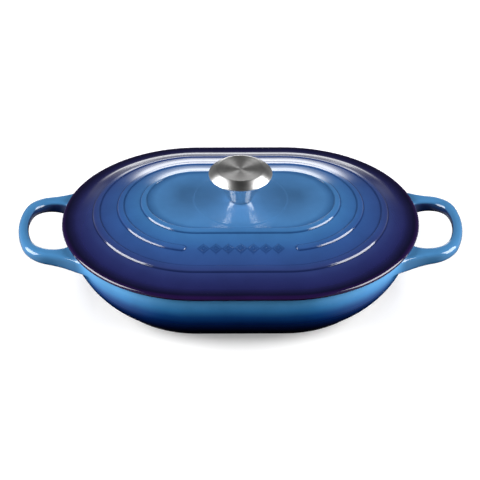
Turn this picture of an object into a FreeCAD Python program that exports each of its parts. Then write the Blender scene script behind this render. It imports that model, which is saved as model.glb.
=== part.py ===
import FreeCAD, Part
import math
import os
import Sketcher

# Oblong enamelled cast iron casserole with a lid, millimetres.
# +Z is up, the origin is the centre of the foot on the table, +X runs along the handles
# and -Y is the front, where the middle rib of the lid is interrupted.
# Every ring of the pot and the lid is a stadium: two half circles, half_straight either side
# of the middle, joined by straight stretches. A radius below is the radius of those half circles.

os.makedirs("parts", exist_ok=True)
doc = FreeCAD.newDocument("oblong_casserole")

BEYOND = 5.0  # how far a cut or a hidden root reaches past the solid it meets

SIZES = {
    "half_straight": 42.0,
    # pot casting
    "pot_height": 70.0,
    "rim_radius": 126.3,
    "wall_curve_radius": 88.3,
    "foot_radius": 84.5,
    "foot_height": 2.5,
    "foot_lean": 0.3,
    "foot_width": 9.0,
    "foot_recess": 0.7,
    "cavity_rim_radius": 122.8,
    "cavity_curve_radius": 84.8,
    "cavity_floor_radius": 80.0,
    "cavity_floor_height": 5.0,
    "cavity_floor_fillet": 8.0,
    "pot_rim_round": 1.2,
    # loop handles, cast in one with the pot
    "handle_reach": 214.8,
    "handle_top": 67.8,
    "handle_bottom": 56.3,
    "handle_nose_radius": 128.0,
    "handle_corner_radius": 28.0,
    "handle_corner_y": 21.8,
    "handle_flare_angle": 8.0,
    "handle_flare_radius": 85.0,
    "handle_flare_end": 142.0,
    "handle_edge_round": 4.5,
    "hole_reach": 205.2,
    "hole_nose_radius": 190.0,
    "hole_corner_radius": 21.5,
    "hole_corner_y": 15.5,
    "hole_start": 163.0,
    # lid casting
    "lid_radius": 130.5,
    "lid_seat_height": 70.2,
    "lid_rim_thickness": 6.0,
    "lid_slope": 0.262,
    "lid_thickness": 3.4,
    "lid_plateau_radius": 47.4,
    "locating_ring_radius": 121.0,
    "locating_ring_width": 3.2,
    "locating_ring_depth": 4.6,
    "rib_height": 1.1,
    "rib_width": 7.1,
    "rib_draft": 0.7,
    "rib_root": 2.0,
    "outer_rib_radius": 99.8,
    "middle_rib_radius": 76.9,
    "inner_rib_radius": 54.5,
    "middle_rib_gap": 104.0,
    "boss_radius": 46.0,
    "boss_step": 0.5,
    "boss_top_radius": 13.5,
    "boss_height": 99.3,
    "boss_curve_radius": 400.0,
    "boss_pad_radius": 12.0,
    "boss_pad_height": 91.5,
    "screw_hole_radius": 3.3,
    # knob
    "knob_height": 34.0,
    "knob_top_radius": 22.6,
    "knob_dish": 0.6,
    "knob_radius": 30.5,
    "knob_wide_height": 28.2,
    "knob_side_curve": 14.0,
    "knob_lip_radius": 29.2,
    "knob_lip_height": 26.6,
    "knob_lip_curve": 1.2,
    "cap_thickness": 1.2,
    "stem_foot_radius": 10.9,
    "stem_foot_round": 1.1,
    "stem_flare_radius": 60.0,
    "stem_flange_height": 26.4,
    "stem_collar_height": 9.0,
    "stem_wall": 1.6,
    "insert_radius": 6.0,
    "insert_flange_radius": 8.5,
    "insert_flange_height": 3.0,
    "insert_bore_radius": 3.02,
    "insert_bore_depth": 17.0,
    "insert_end_thickness": 2.0,
    "fit_clearance": 0.05,
    # fastening under the lid
    "washer_radius": 6.0,
    "washer_thickness": 1.6,
    "lock_washer_radius": 5.4,
    "lock_washer_thickness": 1.5,
    "lock_washer_gap": 1.2,
    "washer_bore_radius": 3.2,
    "screw_radius": 2.97,
    "screw_engagement": 14.0,
    "screw_point_height": 1.0,
    "screw_point_inset": 0.8,
    "screw_head_radius": 5.8,
    "screw_head_height": 3.7,
    "screw_slot_width": 1.6,
    "screw_slot_depth": 1.7,
}

sheet = doc.addObject("Spreadsheet::Sheet", "Sizes")
for row, (alias, number) in enumerate(SIZES.items(), start=1):
    sheet.set(f"A{row}", alias)
    sheet.set(f"B{row}", str(number))
    sheet.setAlias(f"B{row}", alias)
doc.recompute()


class Size:
    """A length that knows its number and the spreadsheet expression that gives it."""

    def __init__(self, value, text):
        self.value = value
        self.text = text

    def __add__(self, other):
        other = as_size(other)
        return Size(self.value + other.value, f"({self.text} + {other.text})")

    def __sub__(self, other):
        other = as_size(other)
        return Size(self.value - other.value, f"({self.text} - {other.text})")

    def __mul__(self, other):
        other = as_size(other)
        return Size(self.value * other.value, f"({self.text} * {other.text})")

    def __truediv__(self, other):
        other = as_size(other)
        return Size(self.value / other.value, f"({self.text} / {other.text})")

    def __neg__(self):
        return Size(-self.value, f"(0 - {self.text})")


def as_size(thing):
    """Wraps a plain number, so that numbers and sheet values mix."""
    return thing if isinstance(thing, Size) else Size(float(thing), str(float(thing)))


def cell(alias):
    """The named cell of the sheet."""
    return Size(SIZES[alias], f"Sizes.{alias}")


def square_root(size):
    return Size(math.sqrt(size.value), f"sqrt({size.text})")


def sine(degrees):
    return Size(math.sin(math.radians(degrees.value)), f"sin({degrees.text} * 1 deg)")


def cosine(degrees):
    return Size(math.cos(math.radians(degrees.value)), f"cos({degrees.text} * 1 deg)")


def leg(hypotenuse, other_leg):
    """The second short side of a right triangle."""
    return square_root(hypotenuse * hypotenuse - other_leg * other_leg)


# ---------------------------------------------------------------- drawing


def origin_plane(body, role):
    """One of the body's own origin planes."""
    return next(feature for feature in body.Origin.OriginFeatures if feature.Role == role)


def arc_centre(start, end, radius):
    """Centre of the short arc between two points: left of the travel for a positive radius."""
    half = (end - start) / 2
    height = math.sqrt(max(radius * radius - half.Length ** 2, 0.0))
    left = FreeCAD.Vector(-half.y, half.x, 0).normalize()
    return start + half + left * math.copysign(height, radius)


def pin_point(sketch, geometry, position, point):
    """Ties a sketch point to the sheet by its two coordinates."""
    for kind, axis, size in (("DistanceX", -2, point[0]), ("DistanceY", -1, point[1])):
        if abs(size.value) < 1e-9:
            sketch.addConstraint(Sketcher.Constraint("PointOnObject", geometry, position, axis))
        else:
            index = sketch.addConstraint(Sketcher.Constraint(kind, geometry, position, size.value))
            sketch.setExpression(f"Constraints[{index}]", size.text)


def draw_loop(sketch, path):
    """Closed loop through the path's steps. A step is (x, y), reached in a straight line, or
    (x, y, radius), reached along an arc that turns left for a positive radius."""
    path = [tuple(as_size(item) for item in step) for step in path]
    points = [FreeCAD.Vector(step[0].value, step[1].value, 0) for step in path]
    ends = []
    for index, step in enumerate(path):
        start, end = points[index - 1], points[index]
        if len(step) == 2:
            geometry = sketch.addGeometry(Part.LineSegment(start, end))
            ends.append((geometry, 1, 2))
            continue
        radius = step[2]
        centre = arc_centre(start, end, radius.value)
        circle = Part.Circle(centre, FreeCAD.Vector(0, 0, 1), abs(radius.value))
        turns_left = radius.value > 0
        first, last = (start, end) if turns_left else (end, start)
        angles = [math.atan2(point.y - centre.y, point.x - centre.x) for point in (first, last)]
        geometry = sketch.addGeometry(Part.ArcOfCircle(circle, angles[0], angles[1]))
        index_radius = sketch.addConstraint(
            Sketcher.Constraint("Radius", geometry, abs(radius.value)))
        sketch.setExpression(f"Constraints[{index_radius}]",
                             radius.text if turns_left else (-radius).text)
        ends.append((geometry, 1, 2) if turns_left else (geometry, 2, 1))
    for index, (geometry, _, position) in enumerate(ends):
        following, entry, _ = ends[(index + 1) % len(ends)]
        sketch.addConstraint(
            Sketcher.Constraint("Coincident", geometry, position, following, entry))
        pin_point(sketch, geometry, position, path[index])


def draw_circle(sketch, radius):
    """Circle about the sketch's origin."""
    circle = Part.Circle(FreeCAD.Vector(0, 0, 0), FreeCAD.Vector(0, 0, 1), radius.value)
    geometry = sketch.addGeometry(circle)
    sketch.addConstraint(Sketcher.Constraint("Coincident", geometry, 3, -1, 1))
    index = sketch.addConstraint(Sketcher.Constraint("Radius", geometry, radius.value))
    sketch.setExpression(f"Constraints[{index}]", radius.text)


def new_sketch(body, name, role, lift=None):
    """Sketch on an origin plane, lifted off it along its normal when a lift is given."""
    sketch = body.newObject("Sketcher::SketchObject", name)
    sketch.AttachmentSupport = [(origin_plane(body, role), "")]
    sketch.MapMode = "FlatFace"
    if lift is not None:
        sketch.setExpression("AttachmentOffset.Base.z", lift.text)
    return sketch


def new_body(label):
    body = doc.addObject("PartDesign::Body", label)
    body.Label = label
    return body


def finish_feature(body, feature):
    """Recomputes the model and makes the feature the body's result."""
    body.Tip = feature
    doc.recompute()
    return feature


def pad(body, name, sketch, length, both_ways=False):
    feature = body.newObject("PartDesign::Pad", name)
    feature.Profile = sketch
    feature.Midplane = both_ways
    feature.setExpression("Length", length.text)
    return finish_feature(body, feature)


def pocket(body, name, sketch, length, both_ways=False, backwards=False):
    feature = body.newObject("PartDesign::Pocket", name)
    feature.Profile = sketch
    feature.Midplane = both_ways
    feature.Reversed = backwards
    feature.setExpression("Length", length.text)
    return finish_feature(body, feature)


def round_edges(body, name, base, radius, wanted):
    """Fillet on every edge of the base that the wanted() test picks."""
    names = [f"Edge{number}" for number, edge in enumerate(base.Shape.Edges, start=1)
             if wanted(edge)]
    feature = body.newObject("PartDesign::Fillet", name)
    feature.Base = (base, names)
    feature.setExpression("Radius", radius.text)
    return finish_feature(body, feature)


def turn(body, name, path):
    """Full turn about Z of a loop drawn in the XZ plane."""
    sketch = new_sketch(body, f"{name}_profile", "XZ_Plane")
    draw_loop(sketch, path)
    feature = body.newObject("PartDesign::Revolution", name)
    feature.Profile = sketch
    feature.ReferenceAxis = (sketch, ["V_Axis"])
    feature.Angle = 360
    return finish_feature(body, feature)


def mirrored_chain(chain):
    """Closed loop made of an open chain, which starts and ends on the middle line, and of its
    mirror image, walked back. The chain's first edge is straight."""
    way_back = []
    for index in range(len(chain) - 1, 1, -1):
        across, height = chain[index - 1][:2]
        way_back.append((-as_size(across), height) + tuple(chain[index][2:]))
    return list(chain) + way_back


def stadium(body, name, chain, cut=False, ring=False):
    """Solid, or cut, with a stadium plan. The chain is its half section, as (radius, height)
    steps from the middle line round to the middle line. A ring's section is a closed loop of
    straight edges clear of the middle line."""
    half = cell("half_straight")
    section = new_sketch(body, f"{name}_section", "YZ_Plane")
    if ring:
        draw_loop(section, chain)
        draw_loop(section, [(-as_size(across), height) for across, height in reversed(chain)])
    else:
        draw_loop(section, mirrored_chain(chain))
    extrude = pocket if cut else pad
    extrude(body, f"{name}_middle", section, half * 2, both_ways=True)

    profile = new_sketch(body, f"{name}_profile", "XZ_Plane")
    draw_loop(profile, [(half + as_size(step[0]),) + tuple(step[1:]) for step in chain])
    low = FreeCAD.Vector(half.value, 0, 0)
    axis = profile.addGeometry(Part.LineSegment(low, low + FreeCAD.Vector(0, 10, 0)), True)
    profile.addConstraint(Sketcher.Constraint("Vertical", axis))
    pin_point(profile, axis, 1, (half, as_size(0)))
    end = body.newObject("PartDesign::Groove" if cut else "PartDesign::Revolution", f"{name}_end")
    end.Profile = profile
    end.ReferenceAxis = (profile, ["Axis0"])
    end.Midplane = True
    end.Angle = 180
    finish_feature(body, end)

    mirror = body.newObject("PartDesign::Mirrored", f"{name}_other_end")
    mirror.Originals = [end]
    mirror.MirrorPlane = (origin_plane(body, "YZ_Plane"), [""])
    return finish_feature(body, mirror)


def at_height(edge, height):
    """True for an edge that lies level at a height."""
    box = edge.BoundBox
    return abs(box.ZMin - height.value) < 0.01 and abs(box.ZMax - height.value) < 0.01


# ---------------------------------------------------------------- pot


def loop_nose(reach, nose, corner, corner_y):
    """Where a loop's nose arc, centred on the X axis, meets its corner arc, and how far out
    the corner arc's centre is. Both arcs share the line through their centres there."""
    nose_x = reach - nose
    corner_x = nose_x + leg(nose - corner, corner_y)
    stretch = nose / (nose - corner)
    return (nose_x + (corner_x - nose_x) * stretch, corner_y * stretch), corner_x


def both_turned(half_path):
    """A half outline, then the same half turned by 180 degrees."""
    turned = [(-as_size(step[0]), -as_size(step[1])) + tuple(step[2:]) for step in half_path]
    return list(half_path) + turned


def handle_outline():
    """Plan of a bar with a handle at each end: nose, corner, flare, then straight across."""
    nose = cell("handle_nose_radius")
    corner = cell("handle_corner_radius")
    corner_y = cell("handle_corner_y")
    flare = cell("handle_flare_radius")
    lean = cell("handle_flare_angle")
    (nose_x, nose_y), corner_x = loop_nose(cell("handle_reach"), nose, corner, corner_y)
    bend_x = corner_x + corner * sine(lean)
    bend_y = corner_y + corner * cosine(lean)
    flare_x = bend_x + flare * sine(lean)
    flare_y = bend_y + flare * cosine(lean)
    end_x = cell("handle_flare_end")
    end_y = flare_y - leg(flare, flare_x - end_x)
    return both_turned([
        (nose_x, nose_y, nose),
        (bend_x, bend_y, corner),
        (end_x, end_y, -flare),
        (-end_x, end_y),
        (-bend_x, bend_y, -flare),
        (-nose_x, nose_y, corner),
    ])


def finger_holes():
    """Plans of the two finger holes. Their straight inner ends lie inside the pot's wall."""
    nose = cell("hole_nose_radius")
    corner = cell("hole_corner_radius")
    corner_y = cell("hole_corner_y")
    (nose_x, nose_y), corner_x = loop_nose(cell("hole_reach"), nose, corner, corner_y)
    start_x = cell("hole_start")
    start_y = corner_y + leg(corner, corner_x - start_x)
    right = [
        (start_x, -start_y),
        (nose_x, -nose_y, corner),
        (nose_x, nose_y, nose),
        (start_x, start_y, corner),
    ]
    return right, both_turned(right)[len(right):]


def build_pot():
    """Casting: bowl on a low foot ring, with a loop handle at each end."""
    body = new_body("pot_body")
    low = cell("handle_bottom")
    high = cell("handle_top")
    plan = new_sketch(body, "handles_plan", "XY_Plane", lift=low)
    draw_loop(plan, handle_outline())
    for hole in finger_holes():
        draw_loop(plan, hole)
    plate = pad(body, "handles", plan, high - low)
    round_edges(body, "handle_rounding", plate, cell("handle_edge_round"),
                lambda edge: edge.Curve.TypeId == "Part::GeomCircle"
                and (at_height(edge, low) or at_height(edge, high)))

    rim = cell("pot_height")
    foot = cell("foot_radius")
    stadium(body, "bowl", [
        (0, rim),
        (cell("rim_radius"), rim),
        (foot + cell("foot_lean"), cell("foot_height"), -cell("wall_curve_radius")),
        (foot, 0),
        (0, 0),
    ])
    above = rim + BEYOND
    floor = cell("cavity_floor_height")
    stadium(body, "cavity", [
        (0, above),
        (cell("cavity_rim_radius"), above),
        (cell("cavity_rim_radius"), rim),
        (cell("cavity_floor_radius"), floor, -cell("cavity_curve_radius")),
        (0, floor),
    ], cut=True)
    recess_radius = foot - cell("foot_width")
    hollow = stadium(body, "foot_hollow", [
        (0, cell("foot_recess")),
        (recess_radius, cell("foot_recess")),
        (recess_radius, -BEYOND),
        (0, -BEYOND),
    ], cut=True)
    floor_round = round_edges(body, "floor_rounding", hollow, cell("cavity_floor_fillet"),
                              lambda edge: at_height(edge, floor))
    round_edges(body, "rim_rounding", floor_round, cell("pot_rim_round"),
                lambda edge: at_height(edge, rim))
    return body


# ---------------------------------------------------------------- lid


def lid_top(radius):
    """Height of the lid's sloping top at a radius, without its ribs."""
    edge = cell("lid_radius") - cell("lid_rim_thickness") / 2
    return cell("lid_seat_height") + cell("lid_rim_thickness") + cell("lid_slope") * (edge - radius)


def rib_steps(outer_alias):
    """Section of a raised rib on the slope, from its inner foot to its outer foot."""
    outer = cell(outer_alias)
    inner = outer - cell("rib_width")
    draft = cell("rib_draft")
    rise = cell("rib_height")
    return [
        (inner, lid_top(inner)),
        (inner + draft, lid_top(inner + draft) + rise),
        (outer - draft, lid_top(outer - draft) + rise),
        (outer, lid_top(outer)),
    ]


def build_lid():
    """Casting: rounded rim, sloping top with three ribs, the middle one open at the front, a
    round boss for the knob, and a ring underneath that keeps the lid on the pot."""
    body = new_body("lid")
    inner_foot, inner_crest, outer_crest, outer_foot = rib_steps("middle_rib_radius")
    root = cell("rib_root")
    stadium(body, "middle_rib", [
        (inner_foot[0], inner_foot[1] - root),
        inner_foot,
        inner_crest,
        outer_crest,
        outer_foot,
        (outer_foot[0], outer_foot[1] - root),
    ], ring=True)
    gap = new_sketch(body, "rib_gap_plan", "XY_Plane", lift=inner_crest[1] + BEYOND)
    half_gap = cell("middle_rib_gap") / 2
    outside = outer_foot[0] + BEYOND
    draw_loop(gap, [
        (-half_gap, -outside),
        (half_gap, -outside),
        (half_gap, 0),
        (-half_gap, 0),
    ])
    pocket(body, "rib_gap", gap, inner_crest[1] - outer_foot[1] + root + BEYOND * 2)

    seat = cell("lid_seat_height")
    bead = cell("lid_rim_thickness") / 2
    edge = cell("lid_radius") - bead
    plateau = cell("lid_plateau_radius")
    thickness = cell("lid_thickness")
    ring = cell("locating_ring_radius")
    ring_inside = ring - cell("locating_ring_width")
    ring_bottom = seat - cell("locating_ring_depth")
    stadium(body, "cover", [
        (0, lid_top(plateau)),
        (plateau, lid_top(plateau)),
        *rib_steps("inner_rib_radius")[1:],
        *rib_steps("outer_rib_radius"),
        (edge, seat + bead * 2),
        (edge + bead, seat + bead, -bead),
        (edge, seat, -bead),
        (ring, seat),
        (ring, ring_bottom),
        (ring_inside, ring_bottom),
        (ring_inside, lid_top(ring_inside) - thickness),
        (plateau, lid_top(plateau) - thickness),
        (0, lid_top(plateau) - thickness),
    ])

    boss = cell("boss_radius")
    boss_foot = lid_top(plateau) - thickness / 2
    turn(body, "boss", [
        (0, boss_foot),
        (boss, boss_foot),
        (boss, lid_top(plateau) + cell("boss_step")),
        (cell("boss_top_radius"), cell("boss_height"), -cell("boss_curve_radius")),
        (0, cell("boss_height")),
    ])
    pad_top = lid_top(plateau) - thickness / 2
    turn(body, "boss_pad", [
        (0, cell("boss_pad_height")),
        (cell("boss_pad_radius"), cell("boss_pad_height")),
        (cell("boss_pad_radius"), pad_top),
        (0, pad_top),
    ])
    hole = new_sketch(body, "screw_hole_plan", "XY_Plane", lift=cell("boss_height") + BEYOND)
    draw_circle(hole, cell("screw_hole_radius"))
    pocket(body, "screw_hole", hole, cell("boss_height") - cell("boss_pad_height") + BEYOND * 2)
    return body


# ---------------------------------------------------------------- knob


def above_boss(size):
    """Height of a knob feature, measured from the top of the lid's boss."""
    return cell("boss_height") + size


def build_knob_cap():
    """Drawn steel shell: dished top, rounded side and a lip turned in underneath."""
    body = new_body("knob_cap")
    wall = cell("cap_thickness")
    top = above_boss(cell("knob_height"))
    wide = above_boss(cell("knob_wide_height"))
    lip = above_boss(cell("knob_lip_height"))
    side = cell("knob_side_curve")
    dish = cell("knob_dish")
    turn(body, "cap", [
        (0, top - dish),
        (cell("knob_top_radius"), top),
        (cell("knob_radius"), wide, -side),
        (cell("knob_lip_radius"), lip, -cell("knob_lip_curve")),
        (cell("knob_lip_radius") - wall / 2, lip),
        (cell("knob_radius") - wall, wide),
        (cell("knob_top_radius"), top - wall, side - wall),
        (0, top - dish - wall),
    ])
    return body


def build_knob_stem():
    """Flared steel shell with a solid collar at its foot and a flange that closes the cap."""
    body = new_body("knob_stem")
    foot = cell("stem_foot_radius")
    rounding = cell("stem_foot_round")
    flare = cell("stem_flare_radius")
    flange = cell("knob_lip_radius") - cell("cap_thickness") / 2 - cell("fit_clearance")
    flange_z = above_boss(cell("stem_flange_height"))
    wall = cell("stem_wall")
    bore = cell("insert_radius") + cell("fit_clearance")
    collar = above_boss(cell("stem_collar_height"))
    turn(body, "stem", [
        (bore, above_boss(0)),
        (foot, above_boss(0)),
        (foot + rounding, above_boss(rounding), rounding),
        (flange, flange_z, -flare),
        (flange, flange_z + wall / 2),
        (flange - wall * 2, flange_z + wall / 2),
        (foot + rounding, collar, flare + wall * 2),
        (bore, collar),
    ])
    return body


def build_knob_insert():
    """Threaded post that the screw pulls down; its flange bears on the stem's collar."""
    body = new_body("knob_insert")
    post = cell("insert_radius")
    flange = cell("insert_flange_radius")
    shoulder = above_boss(cell("stem_collar_height"))
    bore_top = above_boss(cell("insert_bore_depth"))
    top = bore_top + cell("insert_end_thickness")
    turn(body, "post", [
        (cell("insert_bore_radius"), above_boss(0)),
        (post, above_boss(0)),
        (post, shoulder),
        (flange, shoulder),
        (flange, shoulder + cell("insert_flange_height")),
        (post, shoulder + cell("insert_flange_height")),
        (post, top),
        (0, top),
        (0, bore_top),
        (cell("insert_bore_radius"), bore_top),
    ])
    return body


# ---------------------------------------------------------------- fastening under the lid


def washer_ring(label, top, thickness, outer, bore):
    """Flat ring that hangs from a height."""
    body = new_body(label)
    turn(body, "ring", [
        (bore, top - thickness),
        (outer, top - thickness),
        (outer, top),
        (bore, top),
    ])
    return body


def build_flat_washer():
    return washer_ring("flat_washer", cell("boss_pad_height"), cell("washer_thickness"),
                       cell("washer_radius"), cell("washer_bore_radius"))


def build_lock_washer():
    """Split spring washer under the flat one."""
    top = cell("boss_pad_height") - cell("washer_thickness")
    body = washer_ring("lock_washer", top, cell("lock_washer_thickness"),
                       cell("lock_washer_radius"), cell("washer_bore_radius"))
    slit = new_sketch(body, "slit_plan", "XY_Plane", lift=top + BEYOND)
    half_slit = cell("lock_washer_gap") / 2
    reach = cell("lock_washer_radius") + BEYOND
    draw_loop(slit, [
        (0, -half_slit),
        (reach, -half_slit),
        (reach, half_slit),
        (0, half_slit),
    ])
    pocket(body, "slit", slit, cell("lock_washer_thickness") + BEYOND * 2)
    return body


def build_knob_screw():
    """Pan head screw, up through the washers and the lid into the knob's insert."""
    body = new_body("knob_screw")
    seat = cell("boss_pad_height") - cell("washer_thickness") - cell("lock_washer_thickness")
    bottom = seat - cell("screw_head_height")
    head = cell("screw_head_radius")
    shank = cell("screw_radius")
    crown = cell("screw_head_height") / 2
    tip = above_boss(cell("screw_engagement"))
    turn(body, "screw", [
        (0, bottom),
        (head - crown, bottom),
        (head, bottom + crown, crown),
        (head, seat),
        (shank, seat),
        (shank, tip - cell("screw_point_height")),
        (shank - cell("screw_point_inset"), tip),
        (0, tip),
    ])
    slot = new_sketch(body, "slot_plan", "XY_Plane", lift=bottom)
    half_slot = cell("screw_slot_width") / 2
    draw_loop(slot, [
        (-head, -half_slot),
        (head, -half_slot),
        (head, half_slot),
        (-head, half_slot),
    ])
    pocket(body, "slot", slot, cell("screw_slot_depth"), backwards=True)
    return body


# ---------------------------------------------------------------- assembly

sub_parts = [
    build_pot(),
    build_lid(),
    build_knob_cap(),
    build_knob_stem(),
    build_knob_insert(),
    build_flat_washer(),
    build_lock_washer(),
    build_knob_screw(),
]
doc.recompute()

for item in doc.Objects:
    troubles = {"Invalid", "Error"} & set(item.State)
    if troubles:
        raise RuntimeError(f"{item.Name} is {troubles}")

for part in sub_parts:
    shape = part.Shape
    if shape.isNull() or not shape.isValid() or len(shape.Solids) != 1:
        raise RuntimeError(f"{part.Label} is not one sound solid")
    shape.exportStep(f"parts/{part.Label}.step")
    box = shape.optimalBoundingBox(False)
    print(f"{part.Label}: {shape.Volume / 1000:.1f} cm3, x {box.XMin:.1f} to {box.XMax:.1f}, "
          f"y {box.YMin:.1f} to {box.YMax:.1f}, z {box.ZMin:.1f} to {box.ZMax:.1f}")
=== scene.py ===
"""Looks of the oblong enamelled casserole: two enamelled castings, a brushed steel knob,
plain fasteners, and a pale studio. Metres; +X runs along the handles and -Y is the front."""

import math

import bpy
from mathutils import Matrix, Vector


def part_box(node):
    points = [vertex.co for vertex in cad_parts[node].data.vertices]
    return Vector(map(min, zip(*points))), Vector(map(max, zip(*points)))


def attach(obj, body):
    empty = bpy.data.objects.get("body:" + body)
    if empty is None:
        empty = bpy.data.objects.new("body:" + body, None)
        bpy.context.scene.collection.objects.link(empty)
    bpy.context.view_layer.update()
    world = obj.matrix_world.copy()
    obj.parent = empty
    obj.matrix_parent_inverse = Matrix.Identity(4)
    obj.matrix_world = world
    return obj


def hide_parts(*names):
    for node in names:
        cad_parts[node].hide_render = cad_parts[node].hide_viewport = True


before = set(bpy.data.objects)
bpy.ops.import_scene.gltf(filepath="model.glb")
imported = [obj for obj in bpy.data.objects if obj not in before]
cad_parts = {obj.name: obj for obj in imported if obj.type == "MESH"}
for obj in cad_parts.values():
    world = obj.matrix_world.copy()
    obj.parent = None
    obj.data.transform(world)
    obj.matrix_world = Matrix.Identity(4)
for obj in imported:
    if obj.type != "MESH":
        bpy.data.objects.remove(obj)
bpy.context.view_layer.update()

MM = 0.001
POT_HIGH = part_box("pot_body")[1] / MM
LID_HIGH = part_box("lid")[1] / MM
CAP_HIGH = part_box("knob_cap")[1] / MM
STEM_LOW, STEM_HIGH = (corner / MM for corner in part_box("knob_stem"))

HALF_STRAIGHT = LID_HIGH.x - LID_HIGH.y  # half the straight stretch of every ring
BOSS_TOP = LID_HIGH.z


# ---------------------------------------------------------------- small geometry helpers


def smooth(t):
    """0 to 1 with level ends."""
    t = min(max(t, 0.0), 1.0)
    return t * t * (3 - 2 * t)


def spread(start, end, count):
    """count values after start, the last one is end."""
    return [start + (end - start) * step / count for step in range(1, count + 1)]


def centre_of_arc(start, end, radius):
    """Centre of the short arc from start to end: on the left for a positive radius."""
    half = ((end[0] - start[0]) / 2, (end[1] - start[1]) / 2)
    length = math.hypot(*half)
    height = math.copysign(math.sqrt(max(radius * radius - length * length, 0.0)), radius)
    return (start[0] + half[0] - half[1] / length * height,
            start[1] + half[1] + half[0] / length * height)


def arc(start, end, radius, count):
    """count points after start along the short arc to end."""
    centre = centre_of_arc(start, end, radius)
    first = math.atan2(start[1] - centre[1], start[0] - centre[0])
    last = math.atan2(end[1] - centre[1], end[0] - centre[0])
    turn = (last - first + math.pi) % math.tau - math.pi
    size = abs(radius)
    return [(centre[0] + size * math.cos(first + turn * step / count),
             centre[1] + size * math.sin(first + turn * step / count))
            for step in range(1, count + 1)]


def rounded(corner, before, after, radius, count=4):
    """Points that cut a corner of a section with a soft round of about that radius."""
    corner, before, after = Vector(corner), Vector(before), Vector(after)
    start = corner + (before - corner).normalized() * radius
    end = corner + (after - corner).normalized() * radius
    points = []
    for step in range(count + 1):
        t = step / count
        point = start * (1 - t) ** 2 + corner * 2 * t * (1 - t) + end * t ** 2
        points.append((point.x, point.y))
    return points


def make_piece(name, points, faces, materials, shades=None, pool_and_shade=None):
    """Smooth shaded mesh object from points in millimetres. shades gives each face's material,
    and pool_and_shade gives each point how much its colour is darkened by deeper enamel and painted
    shade, from 0 to 1."""
    mesh = bpy.data.meshes.new(name)
    mesh.from_pydata([(x * MM, y * MM, z * MM) for x, y, z in points], [], faces)
    for material in materials:
        mesh.materials.append(material)
    if shades:
        mesh.polygons.foreach_set("material_index", shades)
    mesh.polygons.foreach_set("use_smooth", [True] * len(mesh.polygons))
    if pool_and_shade:
        mesh.attributes.new("pool_and_shade", "FLOAT", "POINT").data.foreach_set("value", pool_and_shade)
    mesh.validate()
    mesh.update()
    piece = bpy.data.objects.new(name, mesh)
    bpy.context.scene.collection.objects.link(piece)
    return piece


def turned(name, section, segments, materials, closed=True):
    """Piece turned about Z from an (radius, height) section. A point on the axis is a pole."""
    points, rings, faces = [], [], []
    for radius, height in section:
        if radius < 1e-6:
            rings.append([len(points)] * segments)
            points.append((0, 0, height))
            continue
        rings.append(list(range(len(points), len(points) + segments)))
        for step in range(segments):
            angle = math.tau * step / segments
            points.append((radius * math.cos(angle), radius * math.sin(angle), height))
    pairs = list(zip(rings, rings[1:] + rings[:1])) if closed else list(zip(rings, rings[1:]))
    for low, high in pairs:
        for step in range(segments):
            after = (step + 1) % segments
            face = [low[step], low[after], high[after], high[step]]
            face = [index for place, index in enumerate(face) if index not in face[:place]]
            if len(face) > 2:
                faces.append(face)
    return make_piece(name, points, faces, materials)


# ---------------------------------------------------------------- materials


class Nodes:
    """Short names for the shader nodes of one material."""

    def __init__(self, name):
        self.material = bpy.data.materials.new(name)
        self.material.use_nodes = True
        self.tree = self.material.node_tree
        self.shader = self.tree.nodes["Principled BSDF"]
        self.place = self.add("ShaderNodeTexCoord").outputs["Object"]

    def add(self, kind, **settings):
        node = self.tree.nodes.new(kind)
        for key, value in settings.items():
            setattr(node, key, value)
        return node

    def link(self, value, socket):
        """Plugs an output in, or sets a plain value."""
        if isinstance(value, bpy.types.NodeSocket):
            self.tree.links.new(value, socket)
        else:
            socket.default_value = value

    def math(self, operation, *values):
        node = self.add("ShaderNodeMath", operation=operation)
        for value, socket in zip(values, node.inputs):
            self.link(value, socket)
        return node.outputs[0]

    def axes(self, vector=None):
        node = self.add("ShaderNodeSeparateXYZ")
        self.link(vector or self.place, node.inputs[0])
        return node.outputs

    def vector(self, x, y, z):
        node = self.add("ShaderNodeCombineXYZ")
        for value, socket in zip((x, y, z), node.inputs):
            self.link(value, socket)
        return node.outputs[0]

    def noise(self, scale, detail=2.0, vector=None, roughness=0.5):
        node = self.add("ShaderNodeTexNoise")
        self.link(vector or self.place, node.inputs["Vector"])
        node.inputs["Scale"].default_value = scale
        node.inputs["Detail"].default_value = detail
        node.inputs["Roughness"].default_value = roughness
        return node.outputs["Fac"]

    def span(self, value, low, high, to_low, to_high):
        """Maps a value's range onto another, clamped."""
        node = self.add("ShaderNodeMapRange")
        for item, socket in zip((value, low, high, to_low, to_high), node.inputs):
            self.link(item, socket)
        return node.outputs[0]

    def ramp(self, value, stops):
        """Colour ramp; a stop is (place from 0 to 1, linear red, green, blue)."""
        node = self.add("ShaderNodeValToRGB")
        ramp = node.color_ramp
        while len(ramp.elements) < len(stops):
            ramp.elements.new(0.5)
        for element, (place, *colour) in zip(ramp.elements, stops):
            element.position = place
            element.color = (*colour, 1)
        self.link(value, node.inputs[0])
        return node.outputs[0]

    def mix(self, factor, first, second, blend="MIX"):
        node = self.add("ShaderNodeMix", data_type="RGBA", blend_type=blend)
        self.link(factor, node.inputs["Factor"])
        self.link(first, node.inputs["A"])
        self.link(second, node.inputs["B"])
        return node.outputs["Result"]

    def bump(self, height, distance, strength=1.0, normal=None):
        node = self.add("ShaderNodeBump")
        node.inputs["Distance"].default_value = distance
        node.inputs["Strength"].default_value = strength
        self.link(height, node.inputs["Height"])
        if normal:
            self.link(normal, node.inputs["Normal"])
        return node.outputs[0]

    def set(self, **values):
        """Sets sockets of the Principled shader, with _ for a space."""
        for key, value in values.items():
            self.link(value, self.shader.inputs[key.replace("_", " ")])


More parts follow.
